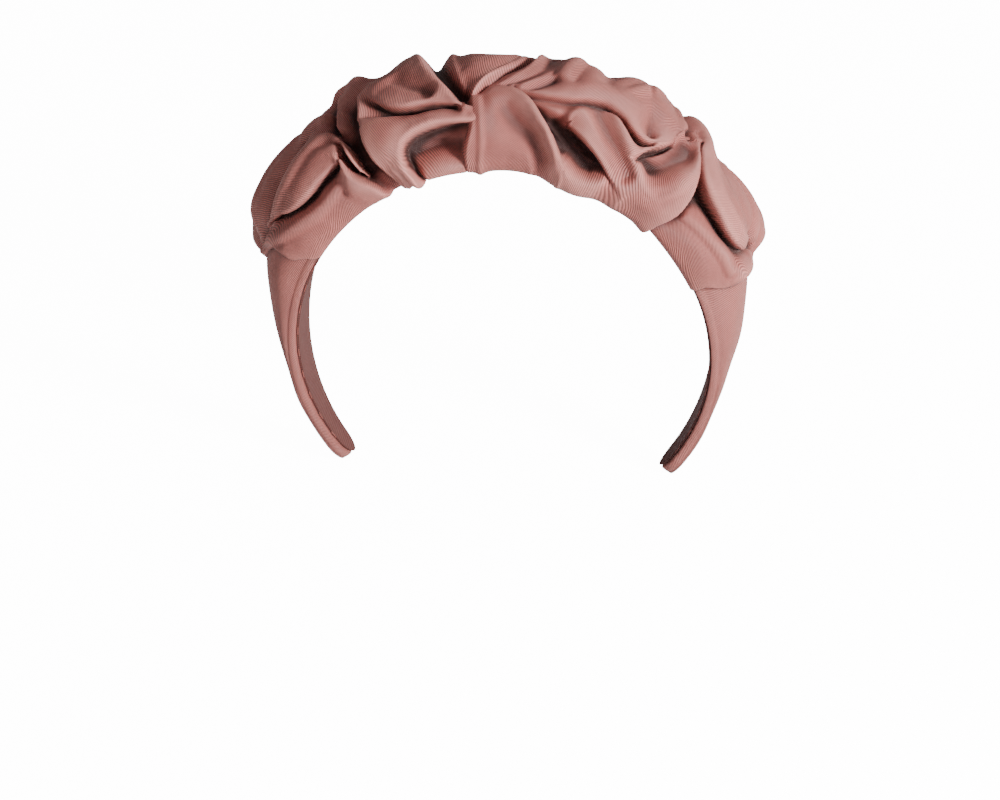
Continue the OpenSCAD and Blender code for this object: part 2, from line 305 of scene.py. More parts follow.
def right_folds(f):
    """The right drape's folds, from the knot to the arm."""
    # the front panel
    f.ridge([(-5, -17, 4), (-4.2, -26, 5), (-4, -36, 5.6), (-5.5, -46, 3.5)], 1.8)
    f.crease([(0, -22, 3.4), (3, -28, 2.6), (7, -34, 2.6), (10, -41, 3)], 3)
    f.lap([(17, -41, 8.8, 7.6), (15.4, -38.4, 8.9, 4), (13.8, -35.6, 9, 0), (11.4, -30.6, 9.2, -3),
           (8.5, -25, 9, -4), (5.5, -19, 8, -3), (2, -14, 6, 0), (-2, -11.5, 4, 3)], 1.5, 2.2)
    f.ridge([(5.4, -16.2, 2.2), (8.6, -18.4, 3.6), (12, -20.4, 5)], 1.4)
    # the hanging loop and the finger fold beside it
    f.ridge([(14.4, -37, 8.8), (16.4, -39.8, 9), (18.8, -41.2, 9), (21.6, -41.4, 8.8),
             (24.2, -40.6, 8.6), (26, -38.8, 8.4), (26.4, -37, 7.8)], 1.2)
    f.crease([(10.4, -23, -1), (13.6, -28.5, -1.4), (17, -33, -0.4), (19.8, -36.2, 1),
              (22.6, -36.8, 2.4)], 2.0)
    f.lap([(14.6, -24.3, 4.6, 0), (17, -26.6, 6, -1), (20, -29.6, 7.4, -0.5), (23.4, -32.8, 8, 1),
           (26.4, -35.6, 8.4, 5), (29.4, -38, 8.2, 6.6), (32.4, -40.6, 7.6, 6.8)], 1.3, 2.0)
    f.ridge([(14.8, -24, 4.6), (14.8, -21.2, 6.6), (16.2, -19.6, 7.4), (18.2, -21.6, 7.4),
             (21, -26.2, 7.2), (24.4, -30, 7.2), (29, -34, 7.2)], 1.2)
    f.crease([(19.6, -17.6, 4.6), (22.4, -23, 4.8), (26.2, -28.4, 5.4), (31, -34, 6)], 1.6)
    f.ridge([(20.6, -12.5, 5.5), (23.4, -17, 7.6), (27, -23, 8.8), (30.6, -28.6, 9), (34.6, -33.4, 8.6),
             (39, -34.6, 8)], 1.3)
    # pleats that fan out of the knot
    f.crease([(-5, -14, 2), (-3, -8, 2), (0, -2, 2.4), (3.5, 5, 2.8), (6, 14, 2.8)], 1.0)
    f.crease([(-6, -8, 0.6), (-4.6, 4, 0.6), (-2.6, 14, 0.6), (-1.6, 28, 0.6), (-1, 42, 0)], 3)
    f.ridge([(-1, -10.5, 3.8), (2.2, -6, 5), (4.8, 1, 5.8), (6, 12, 6.8), (7, 30, 3.6)], 1.0)
    f.crease([(0, -11.2, 2.6), (4, -7.8, 3.8), (7, -1.5, 4.6), (8.4, 8, 4.8), (9, 14, 4.6)], 0.7)
    f.ridge([(1, -11.5, 4), (5, -9.6, 5.4), (9, -3.6, 6.2), (11, 6, 6.4)], 1.1)
    f.crease([(2, -12.4, 2.4), (6, -11.5, 3.4), (10, -6.5, 4.4), (12, 2, 5.2), (12.6, 12, 5)], 0.8)
    # the big top fold with its overhanging lower edge
    f.lap([(2, -12.6, 4, 2.5), (5.4, -14.2, 5.4, 1.8), (9, -15.2, 6.6, 2.8), (13.4, -15.2, 7.8, 3.6),
           (17, -13.8, 8.4, 4), (20.5, -13, 8.6, 4), (24.5, -15, 8.6, 1), (27, -17.2, 7.8, 0),
           (30, -18.4, 7, -0.5), (32.8, -16, 6.4, -0.5), (34.6, -12, 6, 0.5), (36, -6, 6, 1.5),
           (37.2, 0, 6, 3)], 1.6, 2)
    f.ridge([(11.5, -7, 8), (13, 5, 9), (14, 16, 7)], 3.5)
    f.crease([(19.5, 18, 4), (20, 6, 5.6), (20, -4, 7)], 2.5)
    f.ridge([(24.5, -4, 9), (28, 4, 9.8), (31, 10, 8.6)], 3)
    f.crease([(27.4, 7, 9), (28.4, 1, 8), (29.2, -5, 6.8), (30, -10.5, 5), (31, -15.5, 2.6)], 0.8)
    f.ridge([(34.6, 10, 7), (35.4, 2, 7), (36, -5, 7), (35.4, -10.5, 5.6)], 1.8)
    f.crease([(36.4, 18, 4.4), (36.6, 10, 4.6), (37.6, 2, 4.4), (39, -5, 3)], 0.8)
    # the lip and the pocket at the upper tack
    f.lap([(29.8, -27.5, 6.4, 3), (30.6, -23.5, 7.2, -1), (32.2, -19, 7.6, -2.5), (34.2, -15, 6.8, -2),
           (35.6, -11, 5.8, 1)], 1.5, 1.4)
    f.crease([(33.2, -26, 0), (35.6, -22, 0.8), (37.8, -15, 1.6), (38.8, -8, 3)], 3)
    f.ridge([(39, -34.6, 8), (41.2, -29, 8), (42, -21, 8), (41.6, -13, 7.6), (40.4, -6, 7),
             (38.8, 0, 6)], 1.5)
    f.lap([(42, -47, 2, 0), (43.7, -40, 5.8, -0.5), (44.9, -33.5, 7.2, -1), (44.5, -26, 7.8, -1),
           (43.4, -19, 7.8, -1), (42, -12, 7, 0), (41.2, -5, 6.4, 2)], 1.4)
    # the pillar and the outer bulge, down to the lower tack
    f.lap([(40.8, -3, 8, 7.6), (42, -9, 7.8, 4), (44, -15, 7.6, 0), (47, -19.4, 7.8, -1),
           (51, -21.6, 7.8, -1), (55, -22.6, 7.4, -1), (58.6, -21.4, 6.4, -1), (61.4, -17.5, 4.8, -1),
           (63, -12, 3, -1)], 1.6, 1.8)
    f.ridge([(35, 44, 1), (37, 28, 5), (38.4, 17, 6.8), (39, 11, 7.8), (40.6, 4, 8.4), (42.6, -4, 8.6),
             (45.6, -11.4, 8.4), (49.5, -16, 8.2), (54, -17.6, 7.8), (58.5, -16.4, 6.6),
             (61.5, -12.5, 4)], 2)
    f.crease([(42, 16, -0.5), (43.4, 6, 1), (46.4, -2, 3.4), (50.4, -8, 5.2), (55, -11, 5.6),
              (59.6, -10, 3.6)], 1.2)
    f.ridge([(48, 8, 3), (52, 5, 4.6), (57, 2, 6), (61, -1, 5.8), (64.2, -4, 3.6)], 3.4)
    f.ridge([(47, -32, 3), (53, -30.5, 4.2), (59, -29, 5), (65, -28, 4)], 3)
    f.crease([(61.8, -14.5, -1.5), (63, -9, -2), (65, -4, 0)], 0.9)
    f.ridge([(64.4, -9.5, 2), (67, -14, 4), (67.5, -22, 4), (66.8, -30, 3)], 1.4)
    # over the back
    f.ridge([(22, 20, 7), (23, 32, 5.5), (22, 45, 1)], 2.5)
    f.crease([(28, 16, 6), (29.5, 28, 1.5), (29, 42, 0)], 1)
    f.ridge([(15, 24, 7.5), (14, 36, 5), (13, 46, 1)], 2.5)
    f.crease([(42.8, 16, 0.5), (42, 28, 0.5), (41, 42, 0)], 1)
    f.ridge([(51, 16, 4), (51, 28, 4.5), (49, 40, 2.5)], 3)
    f.crease([(58, 14, 3), (58, 26, 1), (56, 42, 0)], 1)


# ---------------------------------------------------------------- sheets
def make_object(name, bm):
    """A smooth object of a bmesh's shape."""
    for face in bm.faces:
        face.smooth = True
    mesh = bpy.data.meshes.new(name)
    bm.to_mesh(mesh)
    bm.free()
    obj = bpy.data.objects.new(name, mesh)
    bpy.context.scene.collection.objects.link(obj)
    return obj


def grid_object(name, rows, cols):
    """A flat grid with one face per step, whose UV map is laid in order."""
    bm = bmesh.new()
    uv = bm.loops.layers.uv.new("UVMap")
    bmesh.ops.create_grid(bm, x_segments=rows, y_segments=cols, size=0.5, calc_uvs=True)
    for face in bm.faces:
        for loop in face.loops:
            loop[uv].uv = loop.vert.co.xy + Vector((0.5, 0.5))
    return make_object(name, bm)


def get_points(obj):
    """Each vertex's place, as an array of rows."""
    co = np.zeros(len(obj.data.vertices) * 3)
    obj.data.vertices.foreach_get("co", co)
    return co.reshape(-1, 3)


def grid_places(obj):
    """Where each vertex of a flat grid lies, from 0 to 1 along and across."""
    co = get_points(obj) + 0.5
    return co[:, 0], co[:, 1]


def set_points(obj, points_mm):
    """Places given in mm."""
    obj.data.vertices.foreach_set("co", (points_mm * MM).ravel())
    obj.data.update()


def blur(field, reach):
    """A box blur, three times over, along both sides of a grid."""
    for _ in range(3):
        for axis in (0, 1):
            wide = np.concatenate([np.repeat(np.take(field, [0], axis), reach + 1, axis), field,
                                   np.repeat(np.take(field, [-1], axis), reach, axis)], axis)
            total = np.cumsum(wide, axis)
            n = field.shape[axis]
            upper = np.take(total, np.arange(2 * reach + 1, 2 * reach + 1 + n), axis)
            field = (upper - np.take(total, np.arange(n), axis)) / (2 * reach + 1)
    return field


def close_up(obj):
    """Merges the points that meet at a pole or a tip, and turns the faces outwards."""
    bm = bmesh.new()
    bm.from_mesh(obj.data)
    bmesh.ops.remove_doubles(bm, verts=bm.verts, dist=1e-7)
    bmesh.ops.recalc_face_normals(bm, faces=bm.faces)
    bm.to_mesh(obj.data)
    bm.free()


def set_attribute(obj, name, values):
    """A value for each vertex, which a material can read by name."""
    layer = obj.data.attributes.new(name, "FLOAT", "POINT")
    layer.data.foreach_set("value", np.asarray(values, dtype=np.float32))


def set_uv(obj, place):
    """UVs in mm of cloth, given for each vertex."""
    index = np.zeros(len(obj.data.loops), dtype=np.int32)
    obj.data.loops.foreach_get("vertex_index", index)
    obj.data.uv_layers[0].data.foreach_set("uv", place[index].ravel())


def lay_weave(obj, points, order, shape):
    """UVs from the length of cloth between the grid's points, so that the weave keeps its size."""
    grid = points[order].reshape(shape + (3,))
    along = np.zeros(shape)
    across = np.zeros(shape)
    along[1:] = np.cumsum(np.linalg.norm(np.diff(grid, axis=0), axis=-1), axis=0)
    across[:, 1:] = np.cumsum(np.linalg.norm(np.diff(grid, axis=1), axis=-1), axis=1)
    across -= across[:, shape[1] // 2:shape[1] // 2 + 1]
    place = np.zeros((len(points), 2))
    place[order] = np.stack([blur(along, 14), blur(across, 14)], axis=-1).reshape(-1, 2)
    set_uv(obj, place)


def fullness(phi):
    """1 over the crown, falling to 0 where the drapes end on the arms."""
    return ease((drape_stop - np.abs(phi)) / drape_fade)


def drape_base(phi):
    """Half width and height of the section under the drapes' folds."""
    fade = fullness(phi)
    half = half_width(phi) + cover_room + mix(0.8, 3.8, fade)
    high = foam_height(phi) + 1.2 + mix(0.6, 1.8, fade)
    return half, high


def interp(c, knots):
    """A value at c between knots, a list of (c, value)."""
    k = np.array(knots, float)
    return np.interp(c, k[:, 0], k[:, 1])


def settle(name, points, outward, held, low, shape):
    """Lets a coarse copy of a gathered sheet buckle between its pinned folds, and returns how far
    each point of the fine grid moves, in mm. The cloth is a little larger than the form that it
    was laid on, so it finds its own small creases. held is how firmly each point is pinned, and low
    is how far it may sink against outward."""
    rows, cols = (shape[0] - 1) // 2, (shape[1] - 1) // 2
    obj = grid_object(name + "_settling", rows, cols)
    u, v = grid_places(obj)
    order = np.lexsort((np.round(v * cols), np.round(u * rows)))
    start = np.zeros((len(order), 3))
    start[order] = points[::2, ::2].reshape(-1, 3)
    pins = np.zeros(len(order))
    pins[order] = held[::2, ::2].ravel()
    obj.data.vertices.foreach_set("co", (start * SIM_SCALE).ravel())
    obj.data.update()
    group = obj.vertex_groups.new(name="pins")
    levels = np.round(pins, 1)
    for level in np.unique(levels):
        group.add(np.flatnonzero(levels == level).tolist(), float(level), "REPLACE")
    cloth = obj.modifiers.new("Cloth", "CLOTH")
    rules = cloth.settings
    rules.quality = 5
    rules.mass = 0.15
    rules.tension_stiffness = 12
    rules.compression_stiffness = 8
    rules.shear_stiffness = 3
    rules.bending_stiffness = 0.8
    rules.air_damping = 4
    rules.vertex_group_mass = "pins"
    rules.pin_stiffness = 4
    rules.shrink_min = -0.04
    rules.effector_weights.gravity = 0
    cloth.collision_settings.use_collision = False
    scene = bpy.context.scene
    cloth.point_cache.frame_start, cloth.point_cache.frame_end = 1, SIM_FRAMES
    scene.frame_start, scene.frame_end = 1, SIM_FRAMES
    for step in range(1, SIM_FRAMES + 1):
        scene.frame_set(step)
    shown = obj.evaluated_get(bpy.context.evaluated_depsgraph_get())
    end = np.zeros(len(order) * 3)
    shown.data.vertices.foreach_get("co", end)
    moved = (end.reshape(-1, 3) / SIM_SCALE - start)[order].reshape(rows + 1, cols + 1, 3)
    scene.frame_set(1)
    bpy.data.objects.remove(obj, do_unlink=True)
    far = np.linalg.norm(moved, axis=-1, keepdims=True)
    moved = moved * np.minimum(1, SIM_CAP / np.maximum(far, 1e-6))
    moved = np.stack([blur(moved[..., axis], 1) for axis in range(3)], axis=-1)
    # back to the fine grid, and never into what lies below
    fine = np.zeros(shape + (3,))
    fine[::2, ::2] = moved
    fine[1::2, ::2] = (moved[:-1] + moved[1:]) / 2
    fine[:, 1::2] = (fine[:, :-1:2] + fine[:, 2::2]) / 2
    inward = np.clip(-(fine * outward).sum(-1), 0, None)
    return fine * np.clip(low / np.maximum(inward, 1e-6), 0, 1)[..., None]


def make_drape(name, side, start, end, folds):
    """One drape, from the knot to the arm. start and end give phi for c."""
    start_tuck, end_tuck = 3.5, 3.0
    wide = 2 * (crest + turn_mm + turn_in)
    long = drape_span * deg_mm
    rows, cols = 2 * int(long / grid_step / 2), 2 * int(wide / grid_step / 2)
    obj = grid_object(name, rows, cols)
    u, v = grid_places(obj)
    order = np.lexsort((np.round(v * cols), np.round(u * rows)))
    c = (v - 0.5) * wide
    first, last = interp(c, start), interp(c, end)
    phi = mix(first, last, u)
    f = Folds(phi, c)
    folds(f)
    # the turned-under ends
    from_start = np.abs(phi - first) * deg_mm
    from_end = np.abs(last - phi) * deg_mm
    shape = (rows + 1, cols + 1)
    lift = f.blow(shape, order)
    lift = lift - start_tuck * (1 - ease(from_start / 2.2)) - end_tuck * (1 - ease(from_end / 1.8))
    keep = 1 - ease((np.abs(c) - crest) / (turn_mm + 3))
    fade = fullness(phi)
    steep = np.sin(np.clip(np.abs(c) / crest, 0, 1) * math.pi / 2) ** 2
    # the space down to the base cover, which is more on the steep sides than on the ridge
    room = mix(mix(0.4, 1.4, fade), mix(0.6, 3.4, fade), steep)
    lift = np.maximum(lift, -room) * keep
    phi = phi + f.shift[:, 0] * keep / deg_mm
    c = c + f.shift[:, 1] * keep
    half, high = drape_base(phi)
    points = section(phi, c, lift, half, high)
    # pins: firm at the edges and the tucks, light along the folds, and almost free between them
    firm = np.where(np.isnan(f.held), 0.0, 0.35)
    firm = np.where((np.abs(c) > crest + 1) | (from_start < 3) | (from_end < 3), 1.0, firm)
    firm = blur(firm[order].reshape(shape), 2)
    room_left = np.clip(lift + room, 0, None)[order].reshape(shape)
    grid = points[order].reshape(shape + (3,))
    outward = section(phi, c, lift + 1, half, high)[order].reshape(shape + (3,)) - grid
    grid = grid + settle(name, grid, outward, np.clip(firm, 0, 1), room_left * 0.8, shape)
    points[order] = grid.reshape(-1, 3)
    set_points(obj, points)
    lay_weave(obj, points, order, shape)
    # how far each point lies under or over the cloth round it, for painted shade in the pits and a
    # painted highlight on the crests
    level = lift[order].reshape(shape)
    under = blur(level, 7) - level
    depth = np.zeros(len(points))
    depth[order] = under.ravel()
    set_attribute(obj, "painted_shade", ease(depth / 2.6))
    set_attribute(obj, "crown", ease(-depth / 3.0))
    if side < 0:
        obj.data.flip_normals()
    return obj, (f.phi * deg_mm, f.c, points)


# where each drape leaves the knot and where it stops on the arm: (c, phi)
left_start = [(-56, -3), (-20, -3), (-16.5, -5.5), (-11, -3.4), (-5, -0.6), (2, 2.6), (10, 5.4),
              (18, 6.5), (30, 6), (56, 4)]
left_end = [(-56, -60), (-44, -60), (-38, -63.5), (-30, -64), (-23, -65), (-14, -68), (-8, -71.5),
            (2, -73.5), (10, -73.5), (20, -71), (40, -66), (56, -63)]
right_start = [(-56, -10.5), (-44, -9.8), (-38, -9), (-30, -7.3), (-22, -7), (-16, -7.5), (-8, -6),
               (56, -5)]
right_end = [(-56, 66), (-40, 66), (-34, 68), (-28, 69), (-18, 69.5), (-9, 69), (-4, 67.6), (5, 67.4),
             (20, 66.5), (40, 64), (56, 63)]

left_drape, left_laid = make_drape("left_drape_cloth", -1, left_start, left_end, left_folds)
right_drape, right_laid = make_drape("right_drape_cloth", 1, right_start, right_end, right_folds)


def make_tack(node, laid, phi, c, turn):
    """A tack: three strands of thread side by side, each diving into the cloth at both ends."""
    strands, half_len, thread_r = 3, 1.9, 0.24
    arch, sink = 0.3, 0.7
    # the strands are made well apart, to be told from each other
    strand_gap = 10
    across, along, points = laid
    near = np.argsort((across - phi * deg_mm) ** 2 + (along - c) ** 2)[:40]
    centre = points[near].mean(axis=0)
    a = math.radians(phi)
    out = np.array([math.sin(a), -0.35, math.cos(a)])
    out /= np.linalg.norm(out)
    side = np.cross(out, [0, 1, 0])
    side /= np.linalg.norm(side)
    rise = np.cross(side, out)
    t = math.radians(turn)
    line, off = side * math.cos(t) + rise * math.sin(t), rise * math.cos(t) - side * math.sin(t)
    bm = bmesh.new()
    for strand in range(strands):
        apart = Matrix.Translation((strand * strand_gap, 0, 0))
        bmesh.ops.create_uvsphere(bm, u_segments=12, v_segments=28, radius=1, matrix=apart)
    obj = make_object(node + "_thread", bm)
    x, y, s = get_points(obj).T
    strand = np.round(x / strand_gap)
    x = x - strand * strand_gap
    strand = strand - (strands - 1) / 2
    round_off = np.minimum(1, np.sqrt(np.clip(1 - s * s, 0, 1)) * 2.5)
    spin = np.arctan2(y, x)
    lift = arch * (1 - s**2) - sink * s**4 + 0.1 * np.cos(strand * 2)
    reach = s * (half_len - 0.25 * np.abs(strand))
    place = (centre + np.outer(reach, line) + np.outer(strand * thread_r * 1.9, off) + np.outer(lift, out)
             + (thread_r * round_off)[:, None] * (np.outer(np.cos(spin), off)
                                                  + np.outer(np.sin(spin), out)))
    set_points(obj, place)
    set_attribute(obj, "ply", reach / 0.55 + spin / (2 * math.pi) * 2)
    close_up(obj)
    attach(obj, "root")
    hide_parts(node)
    return obj


# where each tack goes: phi, c, and how far its threads turn from the way round the head
tacks = [
    make_tack("centre_tack", left_laid, -7.5, -20, 70),
    make_tack("left_upper_tack", left_laid, -36.2, -15, 75),
    make_tack("left_lower_tack", left_laid, -64.5, -13, 30),
    make_tack("right_upper_tack", right_laid, 38.2, -5, -50),
    make_tack("right_lower_tack", right_laid, 62.6, -12.5, -60),
]


def make_cover():
    """The base cover: cloth over the foam, round the hoop's edges and in under it."""
    under, gap = 5.0, 1.2
    obj = grid_object("base_cover_cloth", 420, 150)
    u, v = grid_places(obj)
    end = tip_angle
    # rows crowd towards the rounded tips
    phi = mix(-1, 1, u)
    phi = end * np.sign(phi) * (1 - (1 - np.abs(phi)) ** 1.6)
    z = width_r * np.cos(np.radians(phi))
    tip = np.sqrt(np.clip((tip_radius + cover_room) ** 2 - (z - tip_z) ** 2, 0, None))
    half = np.where(z > tip_z, half_width(phi) + cover_room, tip)
    high = foam_height(phi) + gap
    high = np.where(np.abs(phi) > foam_angle, np.minimum(high, foam_end + gap), high)
    # across: over the dome, round the edge, and in under the hoop, all in step with the local width
    s = (v - 0.5) * 2
    side = np.sign(s)
    s = np.abs(s)
    over, bend = 0.78, 0.9
    dome = np.clip(s / over, 0, 1) * math.pi / 2
    turn = np.clip((s - over) / (bend - over), 0, 1) * math.pi
    run = np.clip((s - bend) / (1 - bend), 0, 1) * np.minimum(under, half * 0.8)
    drop = (foam_r - (head_r + 1.0)) / 2
    y = half * np.sin(dome) + drop * 0.35 * np.sin(turn) - run
    r = foam_r + high * np.cos(dome) ** 0.75 - drop * (1 - np.cos(turn))
    # soft creases along the arms
    arm = ease((np.abs(phi) - 62) / 10) * ease((128 - np.abs(phi)) / 20)
    wave = np.sin(np.radians(phi * 9 + 40 * np.sin(dome) * side)) * 0.25
    wave += np.sin(np.radians(phi * 21 - 130 * dome * side + 60)) * 0.16
    lift = arm * wave
    # the closed tips
    close = np.sqrt(np.clip((end - np.abs(phi)) * deg_mm / 0.7, 0, 1))
    y = side * (y + lift * np.sin(dome))
    r = mix(foam_r - drop, r + lift * np.cos(dome), close)
    a = np.radians(phi)
    set_points(obj, np.stack([r * np.sin(a), y, r * np.cos(a)], axis=-1))
    set_uv(obj, np.stack([phi * deg_mm * 0.9, v * 90], axis=-1))
    # A painted contact shadow on the cover along the line where each drape ends, fading within about 3
    # mm; the cover gets no painted crest highlight.
    spread = side * np.clip(s / over, 0, 1) * crest
    stops = np.where(phi < 0, -interp(spread, left_end), interp(spread, right_end))
    past_mm = np.abs(np.abs(phi) - stops) * deg_mm
    set_attribute(obj, "painted_shade", 0.7 * np.clip(1 - past_mm / 3.2, 0, 1) ** 1.5)
    set_attribute(obj, "crown", np.zeros(len(phi)))
    close_up(obj)
    return obj


def make_foam():
    """The foam crescent, rounded off where the cover's facets would show through it."""
    bm = bmesh.new()
    bmesh.ops.create_uvsphere(bm, u_segments=64, v_segments=180, radius=1)
    obj = make_object("foam_crescent", bm)
    x, y, z = get_points(obj).T
    s = np.arccos(np.clip(z, -1, 1)) / math.pi * 2 - 1
    phi = s * foam_angle
    close = np.sqrt(np.clip((1 - np.abs(s)) / 0.02, 0, 1))
    turn = np.arctan2(y, x)
    half = (half_width(phi) - 0.3) * close
    high = foam_height(phi) * close
    rise = np.where(turn > 0, high * np.abs(np.sin(turn)) ** 0.75, 0.0)
    r = foam_r + 0.05 + rise
    a = np.radians(phi)
    set_points(obj, np.stack([r * np.sin(a), half * np.cos(turn), r * np.cos(a)], axis=-1))
    close_up(obj)
    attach(obj, "root")
    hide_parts("foam_pad")
    return obj


base_cover = make_cover()
foam = make_foam()

for obj, node in ((left_drape, "left_drape"), (right_drape, "right_drape"), (base_cover, "base_cover")):
    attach(obj, "root")
    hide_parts(node)


# ---------------------------------------------------------------- materials
def new_material(name):
    """A material with a plain Principled shader, its node tree and that shader."""
    mat = bpy.data.materials.new(name)
    mat.use_nodes = True
    tree = mat.node_tree
    tree.nodes.clear()
    out = tree.nodes.new("ShaderNodeOutputMaterial")
    shader = tree.nodes.new("ShaderNodeBsdfPrincipled")
    tree.links.new(shader.outputs["BSDF"], out.inputs["Surface"])
    return mat, tree, shader


def new_group(name, inputs, outputs):
    """An empty shader group with named sockets: (name, socket type, default)."""
    group = bpy.data.node_groups.new(name, "ShaderNodeTree")
    for label, kind, value in inputs:
        socket = group.interface.new_socket(label, in_out="INPUT", socket_type=kind)
        if value is not None:
            socket.default_value = value
    for label, kind in outputs:
        group.interface.new_socket(label, in_out="OUTPUT", socket_type=kind)
    start, end = group.nodes.new("NodeGroupInput"), group.nodes.new("NodeGroupOutput")
    return group, start, end


def math_node(tree, operation, a, b=None, c=None, clamp=False):
    """A math node's result. Each of a, b and c is a number, a socket or nothing."""
    node = tree.nodes.new("ShaderNodeMath")
    node.operation = operation
    node.use_clamp = clamp
    for socket, value in zip(node.inputs, (a, b, c)):
        if value is None:
            continue
        if isinstance(value, (int, float)):
            socket.default_value = value
        else:
            tree.links.new(value, socket)
    return node.outputs[0]


def color_mix(tree, blend, factor, a, b):
    """A mixed colour. Each of factor, a and b is a value or a socket."""
    node = tree.nodes.new("ShaderNodeMix")
    node.data_type = "RGBA"
    node.blend_type = blend
    for socket, value in zip([node.inputs[0], node.inputs[6], node.inputs[7]], (factor, a, b)):
        if isinstance(value, (int, float, tuple)):
            socket.default_value = value
        else:
            tree.links.new(value, socket)
    return node.outputs[2]


def sine_wave(tree, turns):
    """A sine from 0 to 1 that repeats with every whole turn."""
    sine = math_node(tree, "SINE", math_node(tree, "MULTIPLY", turns, 2 * math.pi))
    return math_node(tree, "MULTIPLY_ADD", sine, 0.5, 0.5)


def noise(tree, vector, scale, detail=2.0, rough=0.5):
    """Plain noise from 0 to 1."""
    node = tree.nodes.new("ShaderNodeTexNoise")
    node.inputs["Scale"].default_value = scale
    node.inputs["Detail"].default_value = detail
    node.inputs["Roughness"].default_value = rough
    tree.links.new(vector, node.inputs["Vector"])
    return node.outputs["Fac"]


def twill_group():
    """Ribbed twill on a map in mm: steep diagonal ribs, crossed by the finer weft."""
    group, start, end = new_group(
        "ribbed_twill",
        [("Cloth mm", "NodeSocketVector", None), ("Rib pitch mm", "NodeSocketFloat", 0.62),
         ("Rib angle", "NodeSocketFloat", 0.6), ("Slub", "NodeSocketFloat", 0.12)],
        [("Height", "NodeSocketFloat"), ("Rib", "NodeSocketFloat"), ("Cloud", "NodeSocketFloat")])
    place = start.outputs["Cloth mm"]
    wobble = noise(group, place, 0.35, 3.0)
    turn = group.nodes.new("ShaderNodeVectorRotate")
    turn.rotation_type = "Z_AXIS"
    group.links.new(place, turn.inputs["Vector"])
    group.links.new(start.outputs["Rib angle"], turn.inputs["Angle"])
    split = group.nodes.new("ShaderNodeSeparateXYZ")
    group.links.new(turn.outputs["Vector"], split.inputs["Vector"])
    drift = math_node(group, "MULTIPLY", math_node(group, "SUBTRACT", wobble, 0.5), start.outputs["Slub"])
    pitch = start.outputs["Rib pitch mm"]
    across = math_node(group, "DIVIDE", math_node(group, "ADD", split.outputs["X"], drift), pitch)
    rib = sine_wave(group, across)
    along = math_node(group, "DIVIDE", split.outputs["Y"], math_node(group, "MULTIPLY", pitch, 0.55))
    half_step = math_node(group, "MULTIPLY", math_node(group, "FLOOR", across), 0.5)
    stagger = math_node(group, "MULTIPLY", math_node(group, "ADD", along, half_step), math.pi)
    weft = math_node(group, "ABSOLUTE", math_node(group, "SINE", stagger))
    lumpy = math_node(group, "MULTIPLY", noise(group, place, 2.2, 1.0), 0.35)
    threads = math_node(group, "ADD", rib, math_node(group, "MULTIPLY", weft, 0.28))
    height = math_node(group, "ADD", threads, lumpy)
    group.links.new(height, end.inputs["Height"])
    group.links.new(rib, end.inputs["Rib"])
    group.links.new(noise(group, place, 0.06, 4.0, 0.6), end.inputs["Cloud"])
    return group


def attribute(tree, name):
    """A piece's own value for each vertex, by name."""
    node = tree.nodes.new("ShaderNodeAttribute")
    node.attribute_name = name
    return node.outputs["Fac"]


def cloth_material(name="drape_cloth", pitch=0.7, angle=0.6):
    """Dusky rose ribbed twill, with painted shade in the rib grooves, a painted sheen towards a grazing
    view, a painted highlight on the fold crests and painted shade in the pits.
    """
    # The first pair paints the rib grooves darker than the rib tops; then come a painted sheen, a painted
    # highlight for the crests and the painted shade of the pits.
    groove, crown = (0.16, 0.044, 0.036, 1), (0.47, 0.148, 0.125, 1)
    painted_sheen, painted_highlight, depth = (0.60, 0.225, 0.19, 1), (0.68, 0.29, 0.25, 1), (0.026, 0.0085, 0.0072, 1)
    mat, tree, shader = new_material(name)
    n, link = tree.nodes, tree.links
    uv = n.new("ShaderNodeUVMap")
    uv.uv_map = "UVMap"
    weave = n.new("ShaderNodeGroup")
    weave.node_tree = bpy.data.node_groups.get("ribbed_twill") or twill_group()
    weave.inputs["Rib pitch mm"].default_value = pitch
    weave.inputs["Rib angle"].default_value = angle
    link.new(uv.outputs["UV"], weave.inputs["Cloth mm"])
    # Painted shade at thread scale: the rib grooves take the darker colour and the rib tops the lighter
    # one.
    rib_shaded_colour = color_mix(tree, "MIX", weave.outputs["Rib"], groove, crown)
    cloud = math_node(tree, "MULTIPLY_ADD", weave.outputs["Cloud"], 0.5, 0.75)
    facing = n.new("ShaderNodeLayerWeight")
    facing.inputs["Blend"].default_value = 0.35
    grey = n.new("ShaderNodeCombineColor")
    for channel in grey.inputs:
        link.new(cloud, channel)
    toned = color_mix(tree, "MULTIPLY", 1.0, rib_shaded_colour, grey.outputs["Color"])
    # Painted sheen: the colour pales towards a grazing view.
    sheen_share = math_node(tree, "MULTIPLY", facing.outputs["Facing"], 0.3)
    sheened = color_mix(tree, "MIX", sheen_share, toned, painted_sheen)
    # Painted highlight: the crests of the folds are lightened towards a paler pink.
    crest_highlight_share = math_node(tree, "MULTIPLY", attribute(tree, "crown"), 0.38)
    crest_highlighted = color_mix(tree, "MIX", crest_highlight_share, sheened, painted_highlight)
    # Painted shade: the pits of the folds, and the cover just past the drapes' ends, are darkened towards
    # a near black.
    shade = math_node(tree, "MULTIPLY", attribute(tree, "painted_shade"), 0.94)
    deep = color_mix(tree, "MIX", shade, crest_highlighted, depth)
    link.new(deep, shader.inputs["Base Color"])
    rough = math_node(tree, "MULTIPLY_ADD", weave.outputs["Cloud"], 0.2, 0.36)
    link.new(rough, shader.inputs["Roughness"])
    bump = n.new("ShaderNodeBump")
    bump.inputs["Strength"].default_value = 0.85
    bump.inputs["Distance"].default_value = 0.00018
    link.new(weave.outputs["Height"], bump.inputs["Height"])
    link.new(bump.outputs["Normal"], shader.inputs["Normal"])
    shader.inputs["Specular IOR Level"].default_value = 0.42
    shader.inputs["Sheen Weight"].default_value = 0.12
    shader.inputs["Sheen Roughness"].default_value = 0.4
    shader.inputs["Sheen Tint"].default_value = (1.0, 0.62, 0.56, 1)
    return mat


